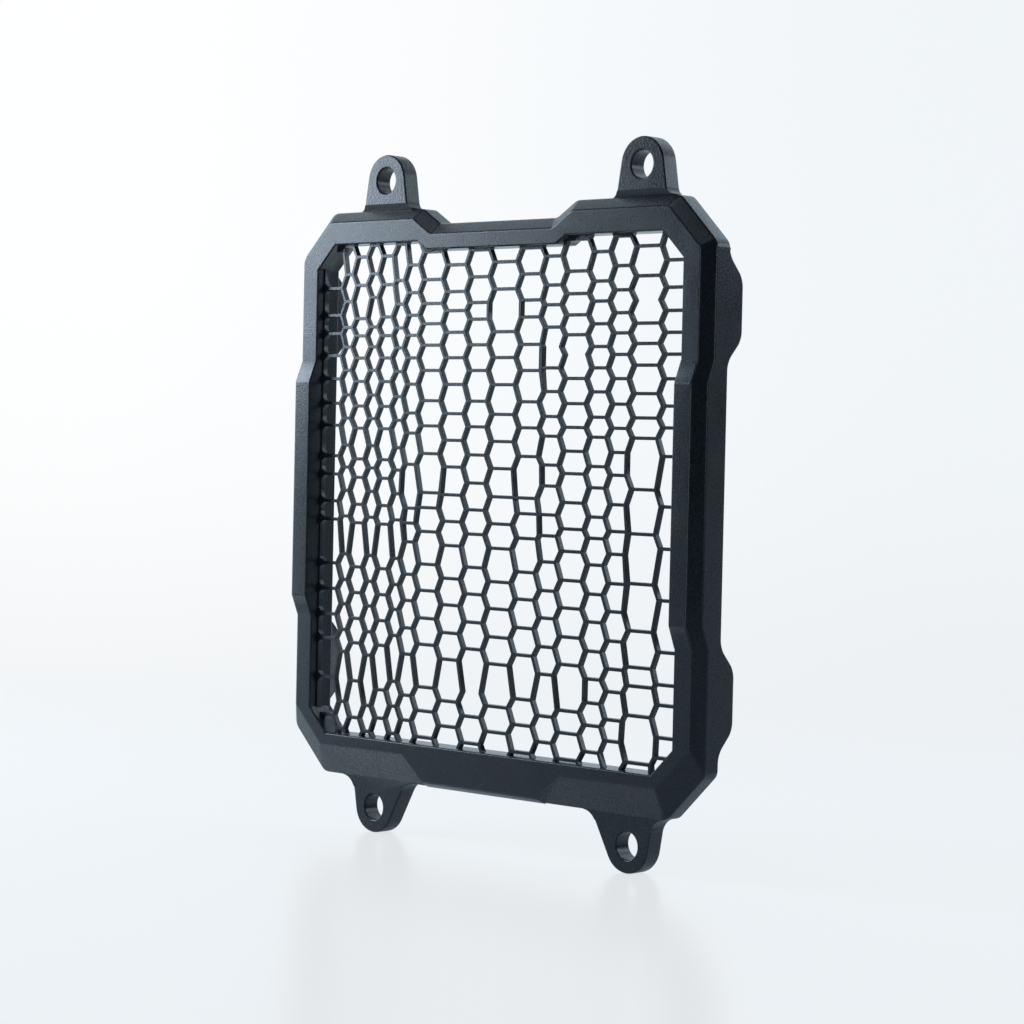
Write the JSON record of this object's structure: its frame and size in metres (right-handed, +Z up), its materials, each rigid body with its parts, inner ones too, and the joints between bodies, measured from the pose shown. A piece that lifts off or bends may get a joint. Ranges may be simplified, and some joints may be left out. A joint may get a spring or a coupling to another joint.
{
  "type": "motorcycle radiator guard",
  "caption": "Flat black guard for a motorcycle radiator: a bevelled frame with clipped corners around a honeycomb grille, and drilled mounting ears above and below.",
  "frame": {"origin": "centre of the four bolt holes, on the rear face of the ears", "axes": "+X to the right seen from the front, +Y to the back, towards the radiator, +Z up"},
  "size_m": [0.2204, 0.0233, 0.2738],
  "materials": {
    "textured_black": "satin black with a fine grain"
  },
  "bodies": {
    "root": {"radiator_guard": "textured_black"}
  },
  "joints": []
}
